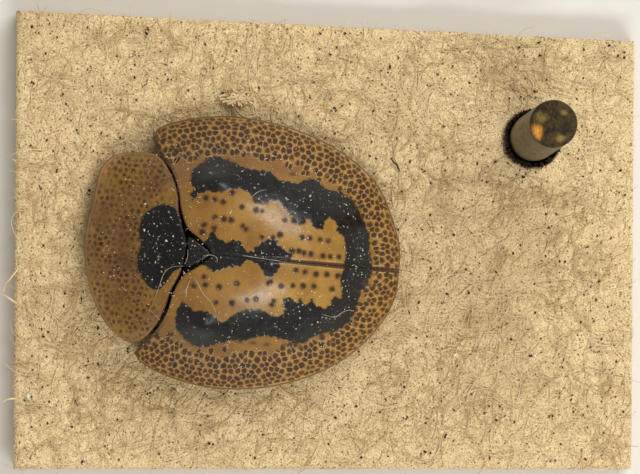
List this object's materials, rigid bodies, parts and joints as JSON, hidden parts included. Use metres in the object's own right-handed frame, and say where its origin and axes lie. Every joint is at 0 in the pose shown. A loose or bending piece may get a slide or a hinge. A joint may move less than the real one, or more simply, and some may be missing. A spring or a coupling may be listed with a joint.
{
  "type": "card-mounted tortoise beetle specimen",
  "caption": "Still life-size tortoise beetle with a domed ochre and black shell, gummed to a fibrous card that a short thick pin passes through.",
  "frame": {"origin": "under the middle of the part's bounding box, on the flat underside of the card", "axes": "+X runs along the card's long side toward the pin, +Y across it so that +X right and +Y up match the picture, +Z up from the card's face; the beetle's head points to -X"},
  "size_m": [0.0094, 0.007, 0.0067],
  "materials": {
    "card": "cream-tan felted card with pale curly fibres and dark specks",
    "pin_metal": "tarnished dark olive metal",
    "glue": "dried amber gum",
    "underside": "dark brown glossy chitin",
    "shell": "glossy ochre chitin with brown pits and black bands",
    "black_shell": "glossy black chitin",
    "eye": "black facetted eye",
    "limb": "yellow-brown glossy chitin"
  },
  "bodies": {
    "root": {"card": "card", "pin": "pin_metal", "glue_drop": "glue", "abdomen": "underside", "thorax": "underside", "pronotum": "shell", "scutellum": "black_shell", "elytron_left": "shell", "elytron_right": "shell", "head": "underside", "eye_left": "eye", "eye_right": "eye", "antenna_left": "limb", "antenna_right": "limb", "leg_front_left": "limb", "leg_front_right": "limb", "leg_middle_left": "limb", "leg_middle_right": "limb", "leg_hind_left": "limb", "leg_hind_right": "limb"}
  },
  "joints": []
}
